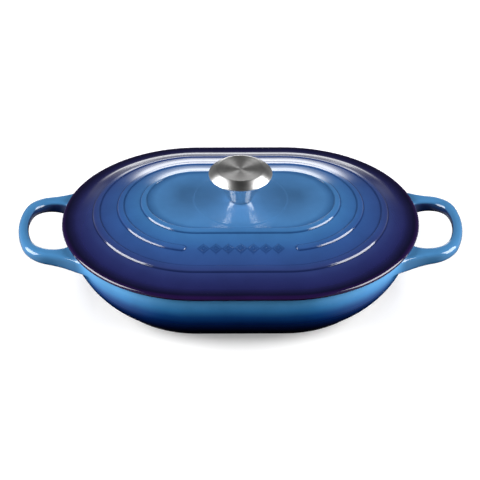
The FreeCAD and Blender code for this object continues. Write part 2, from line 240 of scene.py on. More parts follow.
def ring_radius(nodes):
    """Distance from the straight middle line of the stadium, in millimetres."""
    x, y, _ = nodes.axes()
    past = nodes.math("MAXIMUM", nodes.math("SUBTRACT", nodes.math("ABSOLUTE", x),
                                            HALF_STRAIGHT * MM), 0.0)
    square = nodes.math("ADD", nodes.math("MULTIPLY", past, past), nodes.math("MULTIPLY", y, y))
    return nodes.math("DIVIDE", nodes.math("SQRT", square), MM)


def glassy(nodes, colour, mottle=0.07):
    """Finishes an enamel: faint cloudiness, tiny specks, orange peel and a clear gloss."""
    cloud = nodes.span(nodes.noise(38, 3), 0.3, 0.7, 1 - mottle, 1 + mottle)
    speck = nodes.span(nodes.noise(900, 1), 0.70, 0.78, 1.0, 0.86)
    tone = nodes.math("MULTIPLY", cloud, speck)
    shade = nodes.vector(tone, tone, tone)
    peel = nodes.bump(nodes.noise(110, 1), 0.00004, 0.35)
    grain = nodes.bump(nodes.noise(480, 2), 0.00001, 0.3, peel)
    nodes.set(Base_Color=nodes.mix(1.0, colour, shade, "MULTIPLY"),
              Roughness=nodes.span(nodes.noise(60, 2), 0.3, 0.7, 0.10, 0.15),
              IOR=1.5, Coat_Weight=0.35, Coat_Roughness=0.04, Coat_IOR=1.5, Normal=grain)
    return nodes.material


LID_RING = 132.0  # millimetres at the end of the lid's colour ramp
# the lid's colour from the middle out: the enamel's own gradient, darkened near the rim by a painted
# dark reflection as well
LID_SHADES = [
    (0.0, 0.060, 0.168, 0.360), (40.0, 0.052, 0.160, 0.350), (54.0, 0.035, 0.122, 0.290),
    (68.0, 0.028, 0.094, 0.252), (76.0, 0.024, 0.068, 0.208), (92.0, 0.021, 0.050, 0.168),
    (100.0, 0.021, 0.034, 0.124), (108.0, 0.015, 0.021, 0.092), (116.0, 0.012, 0.014, 0.070),
    (121.0, 0.008, 0.008, 0.040), (126.0, 0.004, 0.004, 0.018), (130.5, 0.016, 0.005, 0.045),
]
POT_HEIGHT_END = 80.0  # millimetres at the end of the pot's colour ramp
# the pot's colour up the wall: the enamel's own gradient, darkened towards the foot by painted shade
# as well
POT_SHADES = [
    (0.0, 0.000, 0.001, 0.006), (8.0, 0.001, 0.003, 0.024), (20.0, 0.002, 0.013, 0.100),
    (34.0, 0.003, 0.034, 0.200), (44.0, 0.011, 0.100, 0.380), (54.0, 0.050, 0.280, 0.660),
    (62.0, 0.095, 0.370, 0.740), (70.0, 0.105, 0.380, 0.740),
]


LID_POOL_AND_SHADE = (0.28, 0.36, 0.48, 1)  # what the full pooled enamel and painted shade leave of the lid's colour under them
# what the full painted shade leaves of the pot's colour, on the handles and their finger holes
POT_PAINTED_SHADE = (0.12, 0.06, 0.10, 1)


def pool_and_shade_tint(nodes, pool):
    """White where nothing is darkened, and the pool colour where the deeper enamel and painted shade
    are full.
    """
    pool_and_shade = nodes.add("ShaderNodeAttribute", attribute_name="pool_and_shade").outputs["Fac"]
    return nodes.mix(pool_and_shade, (1, 1, 1, 1), pool)


def lid_enamel():
    """Blue in the middle to near black at the rim, darkened at the ribs' feet and round the relief by
    pooled enamel and painted shade.
    """
    nodes = Nodes("lid_enamel_shaded")
    place = nodes.math("DIVIDE", ring_radius(nodes), LID_RING)
    place = nodes.math("ADD", place, nodes.span(nodes.noise(22, 2), 0.0, 1.0, -0.010, 0.010))
    stops = [(ring / LID_RING, *colour) for ring, *colour in LID_SHADES]
    shade = nodes.ramp(place, stops)
    return glassy(nodes, nodes.mix(1.0, shade, pool_and_shade_tint(nodes, LID_POOL_AND_SHADE), "MULTIPLY"))


def pot_enamel():
    """Near black at the foot to light blue at the rim, partly the enamel's gradient and partly
    painted shade near the floor, with painted shade on the handles.
    """
    nodes = Nodes("pot_enamel_shaded")
    height = nodes.math("DIVIDE", nodes.axes()[2], POT_HEIGHT_END * MM)
    height = nodes.math("ADD", height, nodes.span(nodes.noise(22, 2), 0.0, 1.0, -0.02, 0.02))
    stops = [(level / POT_HEIGHT_END, *colour) for level, *colour in POT_SHADES]
    shade = nodes.ramp(height, stops)
    return glassy(nodes, nodes.mix(1.0, shade, pool_and_shade_tint(nodes, POT_PAINTED_SHADE), "MULTIPLY"))


def sand_enamel():
    """Pale enamel inside the pot and the lid."""
    nodes = Nodes("sand_enamel")
    colour = nodes.ramp(nodes.noise(70, 4), [(0.35, 0.62, 0.53, 0.40), (0.65, 0.70, 0.61, 0.47)])
    return glassy(nodes, colour, 0.03)


def bare_rim():
    """Matt black enamel where the pot and the lid meet."""
    nodes = Nodes("matt_rim")
    colour = nodes.ramp(nodes.noise(400, 3), [(0.3, 0.010, 0.010, 0.012), (0.7, 0.022, 0.022, 0.025)])
    nodes.set(Base_Color=colour, Roughness=nodes.span(nodes.noise(500, 2), 0.3, 0.7, 0.5, 0.65),
              Normal=nodes.bump(nodes.noise(700, 2), 0.00004, 0.6))
    return nodes.material


def brushed_steel(name, colour, roughness, turned_lines=True, anisotropy=0.9):
    """Steel with fine lines that run round the knob's axis."""
    nodes = Nodes(name)
    x, y, z = nodes.axes()
    around = nodes.math("ARCTAN2", y, x)
    out = nodes.math("SQRT", nodes.math("ADD", nodes.math("MULTIPLY", x, x),
                                        nodes.math("MULTIPLY", y, y)))
    if turned_lines:
        lines = nodes.vector(nodes.math("MULTIPLY", out, 6500.0), nodes.math("MULTIPLY", around, 0.5),
                             nodes.math("MULTIPLY", z, 6500.0))
        wear = nodes.vector(nodes.math("MULTIPLY", out, 700.0), nodes.math("MULTIPLY", around, 0.8),
                            nodes.math("MULTIPLY", z, 700.0))
    else:
        lines = nodes.vector(nodes.math("MULTIPLY", x, 2600.0), nodes.math("MULTIPLY", y, 2600.0),
                             nodes.math("MULTIPLY", z, 2600.0))
        wear = nodes.vector(nodes.math("MULTIPLY", x, 500.0), nodes.math("MULTIPLY", y, 500.0),
                            nodes.math("MULTIPLY", z, 500.0))
    line = nodes.noise(1.0, 2, lines, 0.6)
    band = nodes.noise(1.0, 2, wear)
    dark = tuple(part * 0.86 for part in colour)
    nodes.set(Base_Color=nodes.ramp(line, [(0.35, *dark), (0.65, *colour)]), Metallic=1.0,
              Roughness=nodes.span(band, 0.3, 0.7, roughness - 0.03, roughness + 0.03),
              Normal=nodes.bump(line, 0.000004, 0.15))
    if turned_lines:
        tangent = nodes.add("ShaderNodeTangent", direction_type="RADIAL", axis="Z")
        nodes.set(Anisotropic=anisotropy, Anisotropic_Rotation=0.25, Tangent=tangent.outputs[0])
    return nodes.material


LID_ENAMEL = lid_enamel()
POT_ENAMEL = pot_enamel()
SAND = sand_enamel()
RIM = bare_rim()
KNOB_STEEL = brushed_steel("knob_brushed_steel", (0.96, 0.955, 0.945), 0.38, anisotropy=0.68)
STEM_STEEL = brushed_steel("stem_steel", (0.70, 0.71, 0.71), 0.18, anisotropy=0.2)
FASTENER_STEEL = brushed_steel("fastener_zinc_steel", (0.56, 0.55, 0.52), 0.34, turned_lines=False)


# ---------------------------------------------------------------- pot, one quarter of it

POT_RIM = POT_HIGH.y
HANDLE_REACH = POT_HIGH.x
RIM_HEIGHT = POT_HIGH.z
RIM_ROUND = 0.7
FOOT = 86.0
FOOT_HEIGHT = 2.5
WALL_CURVE = 88.3
CAVITY = 122.8
CAVITY_CURVE = 84.8
CAVITY_FLOOR = 80.0
FLOOR_HEIGHT = 5.0
ROOT_INNER, ROOT_OUTER = 8.2, 38.5  # degrees from the X axis, of the wall's open patch
ROOT_LOW, ROOT_HIGH = 47.5, 69.4
ROOT_COLUMNS, ROOT_ROWS = 10, 6
HANDLE_TOP, HANDLE_BOTTOM = 69.3, 58.8  # at the nose, which stands a little higher
ROOT_TOP, ROOT_BOTTOM = 68.0, 53.0
HANDLE_ROUND = 5.2  # at the nose, where the bar is nearly round
ROOT_ROUND = 3.6
HANDLE_SHADE = 0.54  # how much painted shade darkens the handles compared with the wall

WALL_CENTRE = centre_of_arc((FOOT + 0.3, FOOT_HEIGHT), (POT_RIM, RIM_HEIGHT), WALL_CURVE)


def wall_radius(height):
    return WALL_CENTRE[0] + math.sqrt(WALL_CURVE ** 2 - (height - WALL_CENTRE[1]) ** 2)


def wall_point(degrees, height):
    """Point on the outside of the wall, on the end curve."""
    angle = math.radians(degrees)
    radius = wall_radius(height)
    return Vector((HALF_STRAIGHT + radius * math.cos(angle), radius * math.sin(angle), height))


def pot_section():
    """(radius, height, shade) of the casting from under its middle, round the rim, to the
    middle of its floor, with the two rows that bound the handle's open patch."""
    recess = FOOT - 9.0
    rows = [(radius, 0.7, 0) for radius in (18, 40, 60)]
    rows += [(*point, 0) for point in rounded((recess, 0.7), (60, 0.7), (recess + 0.3, 0), 0.6, 2)]
    rows += [(*point, 0) for point in rounded((recess + 0.7, 0), (recess, 0.7), (FOOT, 0), 0.5, 2)]
    rows += [(recess + 4, 0, 0)]
    rows += [(*point, 0) for point in rounded((FOOT, 0), (recess, 0), (FOOT, 2), 0.8, 3)]
    rows += [(FOOT + 0.15, 1.8, 0), (FOOT + 0.5, 2.5, 0), (FOOT + 2.0, 3.6, 0)]
    heights = [5.6, 8.6, 12.2, 16.2, 20.6, 25.4, 30.2, 35.0, 39.8]
    rows += [(wall_radius(height), height, 0) for height in heights]
    first = len(rows)
    rows += [(wall_radius(ROOT_LOW), ROOT_LOW, 0)]
    rows += [(wall_radius(height), height, 0)
             for height in spread(ROOT_LOW, ROOT_HIGH, ROOT_ROWS)]
    last = len(rows) - 1
    rows += [(*point, 2) for point in rounded((POT_RIM, RIM_HEIGHT), (POT_RIM, 0), (0, RIM_HEIGHT),
                                              RIM_ROUND, 3)[1:]]
    rows += [((POT_RIM + CAVITY) / 2, RIM_HEIGHT, 2)]
    rows += [(*point, 2) for point in rounded((CAVITY, RIM_HEIGHT), (POT_RIM, RIM_HEIGHT),
                                              (CAVITY, 0), RIM_ROUND, 3)]
    bend = arc((CAVITY, RIM_HEIGHT), (CAVITY_FLOOR, FLOOR_HEIGHT), -CAVITY_CURVE, 15)
    rows += [(*point, 1) for point in bend[:-2]]
    rows += [(CAVITY_FLOOR + 2.2, FLOOR_HEIGHT + 2.5, 1), (CAVITY_FLOOR - 1, FLOOR_HEIGHT + 0.8, 1)]
    rows += [(radius, FLOOR_HEIGHT, 1) for radius in (CAVITY_FLOOR - 6, 62, 46, 32, 18)]
    return rows, first, last


def pot_columns():
    """(centre x, direction x, direction y) from the middle of the back to the +X axis, with the
    two columns that bound the handle's open patch."""
    columns = [(x, 0.0, 1.0) for x in [0.0] + spread(0, HALF_STRAIGHT, 7)]
    degrees = spread(90, ROOT_OUTER, 18)
    first = len(columns) + len(degrees) - 1
    degrees += spread(ROOT_OUTER, ROOT_INNER, ROOT_COLUMNS)
    last = len(columns) + len(degrees) - 1
    degrees += spread(ROOT_INNER, 0, 3)
    columns += [(HALF_STRAIGHT, math.cos(math.radians(angle)), math.sin(math.radians(angle)))
                for angle in degrees]
    columns[-1] = (HALF_STRAIGHT, 1.0, 0.0)
    return columns, first, last


def round_loop(half_width, half_height, radius):
    """Rounded rectangle as (across, up) points that match the open patch's rim: along the top
    from the outer corner to the inner, down, back along the bottom and up."""
    radius = min(radius, half_width * 0.97, half_height * 0.97)
    flat, upright = half_width - radius, half_height - radius

    def side(length, count):
        """Offsets along a side, from the middle of one corner's arc to the next."""
        total = 2 * length + radius * math.pi / 2
        for step in range(count):
            run = total * step / count
            quarter = radius * math.pi / 4
            if run < quarter:
                angle = math.pi / 4 - run / radius
                yield -length - radius * math.sin(angle), radius * math.cos(angle)
            elif run > total - quarter:
                angle = (run - (total - quarter)) / radius
                yield length + radius * math.sin(angle), radius * math.cos(angle)
            else:
                yield run - quarter - length, radius

    loop = [(along, upright + rise) for along, rise in side(flat, ROOT_COLUMNS)]
    loop += [(flat + rise, -along) for along, rise in side(upright, ROOT_ROWS)]
    loop += [(-along, -upright - rise) for along, rise in side(flat, ROOT_COLUMNS)]
    loop += [(-flat - rise, along) for along, rise in side(upright, ROOT_ROWS)]
    return loop


def handle_edges():
    """Plan of a half handle as matching (inner, outer) points from near the wall to the nose."""
    nose, corner, corner_y = 105.0, 29.0, 22.6
    outer_corner = Vector((HANDLE_REACH - nose + math.sqrt((nose - corner) ** 2 - corner_y ** 2),
                           corner_y))
    hole_reach, hole_nose, hole_corner, hole_y = HANDLE_REACH - 9.8, 70.0, 22.5, 16.0
    inner_corner = Vector((hole_reach - hole_nose
                           + math.sqrt((hole_nose - hole_corner) ** 2 - hole_y ** 2), hole_y))
    lean, flare = math.radians(8), 85.0
    flare_centre = outer_corner + Vector((math.sin(lean), math.cos(lean))) * (corner + flare)

    def on_circle(centre, radius, degrees):
        angle = math.radians(degrees)
        return Vector(centre) + Vector((math.cos(angle), math.sin(angle))) * radius

    outer_turn = math.degrees(math.asin(corner_y / (nose - corner)))
    inner_turn = math.degrees(math.asin(hole_y / (hole_nose - hole_corner)))
    pairs = []
    for share in (0.42, 0.53, 0.64, 0.76, 0.88, 1.0):
        pairs.append((on_circle(inner_corner, hole_corner, 148 + (90 - 148) * share),
                      on_circle(flare_centre, flare, 227 + (262 - 227) * share)))
    for share in spread(0, 1, 7):
        pairs.append((on_circle(inner_corner, hole_corner, 90 + (inner_turn - 90) * share),
                      on_circle(outer_corner, corner, 82 + (outer_turn - 82) * share)))
    for share in spread(1, 0, 5):
        pairs.append((on_circle((hole_reach - hole_nose, 0), hole_nose, inner_turn * share),
                      on_circle((HANDLE_REACH - nose, 0), nose, outer_turn * share)))
    return pairs


def handle_ring(inner, outer, share):
    """Section of the handle between two plan points; share is 0 near the wall, 1 at the nose."""
    top = ROOT_TOP + (HANDLE_TOP - ROOT_TOP) * smooth(share)
    bottom = HANDLE_BOTTOM - (HANDLE_BOTTOM - ROOT_BOTTOM) * (1 - share) ** 1.5
    roundness = ROOT_ROUND + (HANDLE_ROUND - ROOT_ROUND) * smooth(share * 1.6)
    middle = (inner + outer) / 2
    across = (inner - outer) / 2
    centre = (top + bottom) / 2
    return [Vector((*(middle + across.normalized() * along), centre + up))
            for along, up in round_loop(across.length, (top - bottom) / 2, roundness)]


def root_ring():
    """Where the handle's fillet leaves the wall: a rounded loop drawn on the wall."""
    inner, outer, low, high = 10.8, 36.4, 51.4, 69.0
    middle_height = (low + high) / 2
    scale = math.radians(1) * wall_radius(middle_height)
    half_width = (outer - inner) / 2 * scale
    return [wall_point((inner + outer) / 2 - along / scale, middle_height + up)
            for along, up in round_loop(half_width, (high - low) / 2, 6.0)]


def make_pot():
    rows, low_row, high_row = pot_section()
    columns, outer_column, inner_column = pot_columns()
    points, faces, shades = [], [], []

    def add(point):
        points.append(tuple(point))
        return len(points) - 1

    grid = [[add((cx + radius * dx, radius * dy, height)) for cx, dx, dy in columns]
            for radius, height, _ in rows]
    for low in range(len(rows) - 1):
        for side in range(len(columns) - 1):
            if low_row <= low < high_row and outer_column <= side < inner_column:
                continue
            faces.append([grid[low][side], grid[low + 1][side],
                          grid[low + 1][side + 1], grid[low][side + 1]])
            shades.append(rows[low + 1][2] if rows[low][2] else rows[low][2])
    for row, shade in ((grid[0], 0), (grid[-1][::-1], 1)):
        centre = add((0, 0, points[row[0]][2]))
        faces.append(row + [centre])
        shades.append(shade)

    rim = [grid[high_row][side] for side in range(outer_column, inner_column)]
    rim += [grid[row][inner_column] for row in range(high_row, low_row, -1)]
    rim += [grid[low_row][side] for side in range(inner_column, outer_column, -1)]
    rim += [grid[row][outer_column] for row in range(low_row, high_row)]
    pairs = handle_edges()
    count = len(pairs)
    rings = [handle_ring(inner, outer, place / (count - 1))
             for place, (inner, outer) in enumerate(pairs)]
    root = root_ring()
    blend = []
    for share in (0.2, 0.42, 0.64, 0.84):
        ring = []
        for index, start in enumerate(root):
            end = rings[0][index]
            inward = start - Vector(points[rim[index]])
            gap = (end - start).length
            leave = inward.normalized() * min(max(inward.length * 2.6, 1.0), gap)
            arrive = (rings[1][index] - end).normalized() * gap
            square, cube = share ** 2, share ** 3
            ring.append(start * (2 * cube - 3 * square + 1) + leave * (cube - 2 * square + share)
                        + end * (3 * square - 2 * cube) + arrive * (cube - square))
        blend.append(ring)
    loops = [rim] + [[add(point) for point in ring] for ring in [root] + blend + rings]
    for near, far in zip(loops, loops[1:]):
        for index in range(len(near)):
            after = (index + 1) % len(near)
            faces.append([near[index], near[after], far[after], far[index]])
            shades.append(0)

    # painted shade on the handle, and the darkest painted shade on the wall of its finger hole
    pool_and_shade = [0.0] * len(points)
    for place, loop in enumerate(loops[2:]):
        for index, point in enumerate(loop):
            inside = ROOT_COLUMNS < index < ROOT_COLUMNS + ROOT_ROWS + 3
            pool_and_shade[point] = smooth(place / len(blend)) * (1.0 if inside else HANDLE_SHADE)
    pot = make_piece("pot_casting", points, faces, [POT_ENAMEL, SAND, RIM], shades, pool_and_shade)
    mirror = pot.modifiers.new("quarters", "MIRROR")
    mirror.use_axis = (True, True, False)
    mirror.merge_threshold = 0.00002
    soften = pot.modifiers.new("soften", "SUBSURF")
    soften.levels = soften.render_levels = 1
    return pot


pot = make_pot()
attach(pot, "pot")
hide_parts("pot_body")


# ---------------------------------------------------------------- lid

LID_RIM = LID_HIGH.y
SEAT = 70.2
FLANGE_LOW, FLANGE_HIGH = 69.5, 74.2
FLANGE_ROUND = (FLANGE_HIGH - FLANGE_LOW) / 2
FLANGE_INSIDE = 117.2  # ring where the level flange turns up into the side
FLANGE_TURN = 3.0
SIDE_SLOPE = 0.49
LID_WALL = 3.4
OUTER_RIB, MIDDLE_RIB, INNER_RIB = (100.8, 93.2), (76.9, 69.9), (54.5, 47.8)
LID_STRETCHES = [  # (outer ring, height there), (inner ring, height there), hollow between them
    ((OUTER_RIB[0], 82.3), (OUTER_RIB[1], 85.2), 0.0),
    ((OUTER_RIB[1], 85.2), (MIDDLE_RIB[0], 89.6), 0.39),
    ((MIDDLE_RIB[0], 89.6), (MIDDLE_RIB[1], 91.6), 0.0),
    ((MIDDLE_RIB[1], 91.6), (INNER_RIB[0], 95.0), 0.31),
    ((INNER_RIB[0], 95.0), (INNER_RIB[1], 97.0), 0.0),
]
PLATEAU, PLATEAU_HEIGHT = LID_STRETCHES[-1][1]
CROWN, CROWN_WIDTH = 0.8, 22.0
RIB_HEIGHT = 1.1
RIB_EDGE = 1.4
RIB_MARGIN = 1.5
RIB_GAP = 52.0
RELIEF_HEIGHT = 0.45
RELIEF_EDGE = 0.9
RELIEF_STEP = 11.8
RELIEF_COUNT = 7
BOSS_RADIUS = 46.0
BOSS_STEP = 0.2
BOSS_EDGE = 2.4
STEM_FOOT = 12.0


def lid_line(radius):
    """Height of the lid's top at a ring, without its ribs."""
    if radius > OUTER_RIB[0]:
        inside = FLANGE_INSIDE - radius
        rise = (inside + math.sqrt(inside ** 2 + FLANGE_TURN ** 2)) / 2
        return FLANGE_HIGH + SIDE_SLOPE * rise
    for (outer, low), (inner, high), hollow in LID_STRETCHES:
        if radius >= inner:
            share = (outer - radius) / (outer - inner)
            return low + (high - low) * share - hollow * 4 * share * (1 - share)
    share = min((PLATEAU - radius) / CROWN_WIDTH, 1.0)
    return PLATEAU_HEIGHT + CROWN * share * (2 - share)


def rib_rise(depth):
    """Height of a rib at a depth inside its outline."""
    return RIB_HEIGHT * smooth(depth / RIB_EDGE)


def pool_and_shade_at(depth, amount):
    """How much a rib's edge is darkened by pooled enamel and painted shade, at a depth inside its
    outline.
    """
    return amount * smooth(1 - abs(depth - 0.15) / 1.15)


def relief_depth(along, across):
    """Depth inside a row of small open lozenges with a bead in each."""
    place = round(along / RELIEF_STEP)
    if abs(place) > RELIEF_COUNT // 2:
        return -RIB_MARGIN
    along -= place * RELIEF_STEP
    edge = (abs(along) + abs(across)) * math.sqrt(0.5)
    return max(0.95 - abs(edge - 2.95), 1.25 - math.hypot(along, across))


def lid_surface(column, radius):
    """Height of the lid's top and how much pooled enamel and painted shade darken it, at a column and
    a ring.
    """
    cx, dx, dy = column
    x, y = cx + radius * dx, radius * dy
    height, pool_and_shade = lid_line(radius), 0.0
    for outer, inner in (OUTER_RIB, INNER_RIB):
        height += rib_rise(min(outer - radius, radius - inner))
        # pooled enamel and painted shade in the creases at the ribs' feet, stronger on the outer foot
        pool_and_shade = max(pool_and_shade, pool_and_shade_at(outer - radius, 1.0), pool_and_shade_at(radius - inner, 0.55))
    half_width = (MIDDLE_RIB[0] - MIDDLE_RIB[1]) / 2
    line = MIDDLE_RIB[0] - half_width
    across = radius - line
    end_x = RIB_GAP + half_width
    if y > 0 or abs(x) > end_x:
        depth = half_width - abs(across)
        amount = 1.0 if across > 0 else 0.55
    else:
        end_y = -line * math.cos(math.asin((end_x - HALF_STRAIGHT) / line))
        depth = half_width - math.hypot(abs(x) - end_x, y - end_y)
        amount = 0.8
        relief = relief_depth(x, across)
        height += RELIEF_HEIGHT * smooth(relief / RELIEF_EDGE)
        # pooled enamel and painted shade round the relief's lozenges
        pool_and_shade = max(pool_and_shade, pool_and_shade_at(relief, 0.6))
    height += rib_rise(depth)
    return height, max(pool_and_shade, pool_and_shade_at(depth, amount))


def rib_samples(rib, fine):
    """Ring radii across a rib, from outside in, close together on its two edges."""
    outer, inner = rib
    radii = spread(outer + RIB_MARGIN, outer, 4) + spread(outer, outer - RIB_EDGE, fine)
    radii += spread(outer - RIB_EDGE, inner + RIB_EDGE, 4) + spread(inner + RIB_EDGE, inner, fine)
    return radii + spread(inner, inner - RIB_MARGIN, 4)


def plateau_height(x, y):
    """Height of the plateau at a place in plan."""
    return lid_line(math.hypot(max(abs(x) - HALF_STRAIGHT, 0.0), y))


def make_lid():
    half = HALF_STRAIGHT
    right = [-90] + spread(-90, -87, 2) + spread(-87, -75, 30) + spread(-75, 90, 62)
    columns = [(x, 0.0, -1.0) for x in spread(-half, half, 186)[:-1]]
    columns += [(half, math.cos(math.radians(a)), math.sin(math.radians(a))) for a in right]
    columns += [(x, 0.0, 1.0) for x in spread(half, -half, 26)[:-1]]
    columns += [(-half, -math.cos(math.radians(a)), math.sin(math.radians(a))) for a in right[::-1]]
    count = len(columns)

    edge = LID_RIM - FLANGE_ROUND
    rings = []  # (list of points, shade)
    pool_and_shade = []

    def stadium_ring(radius, height, shade):
        rings.append(([(cx + radius * dx, radius * dy, height) for cx, dx, dy in columns], shade))

    def top_ring(radius):
        surface = [lid_surface(column, radius) for column in columns]
        rings.append(([(cx + radius * dx, radius * dy, height)
                       for (cx, dx, dy), (height, _) in zip(columns, surface)], 0))
        pool_and_shade.extend([0.0] * ((len(rings) - 1) * count - len(pool_and_shade)))
        pool_and_shade.extend(pool_shade for _, pool_shade in surface)

    rays = []
    for cx, dx, dy in columns:
        spot = Vector((cx + PLATEAU * dx, PLATEAU * dy))
        rays.append((spot, spot.normalized()))

    def circle_ring(radius, height, shade):
        rings.append(([(ray.x * radius, ray.y * radius, height) for _, ray in rays], shade))

    def bridge_ring(share, radius, height, shade):
        rings.append(([(*(spot.lerp(ray * radius, share)), height) for spot, ray in rays], shade))

    # the rounded flange edge from underneath, over the top and in to the ribs
    for step in range(15):
        angle = -math.pi / 2 + math.pi * step / 14
        stadium_ring(edge + FLANGE_ROUND * math.cos(angle),
                     FLANGE_LOW + FLANGE_ROUND * (1 + math.sin(angle)), 0)
    radii = spread(edge, 122, 3) + spread(122, 112, 9)
    radii += spread(112, OUTER_RIB[0] + RIB_MARGIN, 4) + rib_samples(OUTER_RIB, 8)
    radii += spread(OUTER_RIB[1] - RIB_MARGIN, MIDDLE_RIB[0] + 2.4, 6)
    radii += spread(MIDDLE_RIB[0] + 2.4, MIDDLE_RIB[1] - 2.4, 34)
    radii += spread(MIDDLE_RIB[1] - 2.4, INNER_RIB[0] + RIB_MARGIN, 6)
    radii += rib_samples(INNER_RIB, 8)[:-4]
    for radius in radii:
        top_ring(radius)

    # the crowned plateau runs in to the round boss, which rises to the knob
    foot = PLATEAU_HEIGHT + CROWN + BOSS_STEP
    outside = BOSS_RADIUS + 0.35
    start = outside - BOSS_EDGE
    for share in (0.2, 0.45, 0.72, 1.0):
        plan = [spot.lerp(ray * outside, share) for spot, ray in rays]
        rings.append(([(place.x, place.y, plateau_height(*place)) for place in plan], 0))
    for share in spread(0, 1, 9):
        plan = [ray * (outside - BOSS_EDGE * share) for _, ray in rays]
        rise = smooth(share)
        rings.append(([(place.x, place.y, plateau_height(*place) * (1 - rise) + foot * rise)
                       for place in plan], 0))
    for share in spread(0, 1, 18):
        radius = start + (13.2 - start) * share
        circle_ring(radius, foot + (BOSS_TOP - foot) * share ** 2.1, 0)
    for radius in (STEM_FOOT, 8, 3.6):
        circle_ring(radius, BOSS_TOP, 0)

    # screw hole, pad, and the underside back out to the locating ring and the seat
    pad, pad_height = STEM_FOOT, 91.5
    under = PLATEAU_HEIGHT - LID_WALL
    for radius, height in ((3.3, BOSS_TOP - 0.3), (3.3, (BOSS_TOP + pad_height) / 2),
                           (3.3, pad_height + 0.3), (3.6, pad_height), (8, pad_height),
                           (pad - 0.5, pad_height), (pad - 0.12, pad_height + 0.12),
                           (pad, pad_height + 0.5), (pad + 0.15, under - 1.0),
                           (pad + 0.7, under - 0.35), (pad + 1.8, under)):
        circle_ring(radius, height, 1)
    for radius in (22, 34):
        circle_ring(radius, under, 1)
    for share in (0.6, 0.3):
        bridge_ring(share, 34, under, 1)
    ring, ring_inside = 121.0, 117.8
    for radius in [PLATEAU - 1] + spread(PLATEAU - 1, PLATEAU + 3, 3) + spread(PLATEAU + 3, 101, 12):
        stadium_ring(radius, lid_line(max(radius, PLATEAU)) - LID_WALL, 1)
    for radius in (106, 111):
        stadium_ring(radius, lid_line(radius) - LID_WALL, 1)
    wall_top = lid_line(115.6) - LID_WALL
    bottom = SEAT - 4.6
    for radius, height in ((115.6, wall_top), (117.0, wall_top - 0.7),
                           (117.6, wall_top - 1.6), (ring_inside, bottom + 2.2),
                           (ring_inside, bottom + 0.6), (ring_inside + 0.15, bottom + 0.15),
                           (ring_inside + 0.6, bottom), (ring - 0.6, bottom),
                           (ring - 0.15, bottom + 0.15), (ring, bottom + 0.6)):
        stadium_ring(radius, height, 1)
    for radius, height in ((ring, SEAT - 0.7), (ring + 0.1, SEAT - 0.2), (ring + 0.6, SEAT),
                           (124, SEAT), (126.4, SEAT), (127.0, SEAT - 0.15), (127.5, FLANGE_LOW)):
        stadium_ring(radius, height, 2)

    points, faces, shades = [], [], []
    for ring_points, _ in rings:
        points += ring_points
    for place, (_, shade) in enumerate(rings):
        low = place * count
        high = (place + 1) % len(rings) * count
        for side in range(count):
            after = (side + 1) % count
            faces.append([low + side, low + after, high + after, high + side])
            shades.append(shade)
    pool_and_shade.extend([0.0] * (len(points) - len(pool_and_shade)))
    return make_piece("lid_casting", points, faces, [LID_ENAMEL, SAND, RIM], shades, pool_and_shade)


lid = make_lid()
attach(lid, "lid")
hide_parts("lid")


# ---------------------------------------------------------------- knob and fasteners


def make_cap():
    """Drawn shell: dished top, soft edge, curved side and a lip turned in underneath."""
    top, reach, wall = CAP_HIGH.z, CAP_HIGH.x, 1.2
    dish, top_radius = 1.0, 22.6
    wide = BOSS_TOP + 28.2
    lip, lip_height = 29.2, BOSS_TOP + 26.6
    section = [(0.0, top - dish)]
    for radius in spread(0, top_radius - 1.0, 14):
        section.append((radius, top - dish + dish * (radius / top_radius) ** 2))
    side = arc((top_radius, top), (reach - 0.1, wide), -26.0, 14)
    section += rounded((top_radius, top), (0, top - dish), side[1], 0.9, 6)[1:]
    section += side[1:]
    section += arc((reach - 0.1, wide), (lip, lip_height), -1.2, 6)
    section += [(lip - wall * 0.6, lip_height), (lip - wall, lip_height + 0.5)]
    section += [(reach - wall - 0.3, wide), (top_radius, top - wall - 0.4), (12, top - dish - wall)]
    section += [(0.0, top - dish - wall)]
    return turned("knob_cap_shell", section, 160, [KNOB_STEEL], closed=False)


def make_stem():
    """Flared shell on a solid foot, closed by a flange under the cap."""
    base, foot, bore = STEM_LOW.z, 10.9, 6.05
    flange, flange_height = STEM_HIGH.x, BOSS_TOP + 26.4
    section = [(bore, base), (foot - 0.4, base), (foot, base)]
    section += arc((foot, base), (foot + 1.1, base + 1.1), 1.1, 5)
    section += arc((foot + 1.1, base + 1.1), (flange, flange_height), -80.0, 30)
    section += [(flange, flange_height + 0.7), (flange - 3.2, flange_height + 0.7)]
    section += arc((flange - 3.2, flange_height + 0.7), (foot + 1.1, base + 9), 63.2, 12)
    section += [(bore, base + 9)]
    return turned("knob_stem_shell", section, 144, [STEM_STEEL])


cap = make_cap()
stem = make_stem()
for piece, node in ((cap, "knob_cap"), (stem, "knob_stem")):
    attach(piece, "lid")
    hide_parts(node)

for name in ("knob_insert", "flat_washer", "lock_washer", "knob_screw"):
    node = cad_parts[name]
    node.data.materials.clear()
    node.data.materials.append(FASTENER_STEEL)


# ---------------------------------------------------------------- studio


def make_floor():
    """Pale floor. Glossy surfaces look past it into the dark lower half of the surroundings."""
    nodes = Nodes("studio_floor")
    tone = nodes.ramp(nodes.noise(3.0, 2), [(0.3, 0.87, 0.87, 0.87), (0.7, 0.89, 0.89, 0.89)])
    nodes.set(Base_Color=tone, Roughness=0.9, Emission_Color=(1.0, 1.0, 1.0, 1.0),
              Emission_Strength=FLOOR_GLOW)
    reach = 15000.0
    floor = make_piece("studio_floor", [(-reach, -reach, 0), (reach, -reach, 0),
                                        (reach, reach, 0), (-reach, reach, 0)],
                       [[0, 1, 2, 3]], [nodes.material])
    floor.visible_glossy = False
    floor.visible_diffuse = False


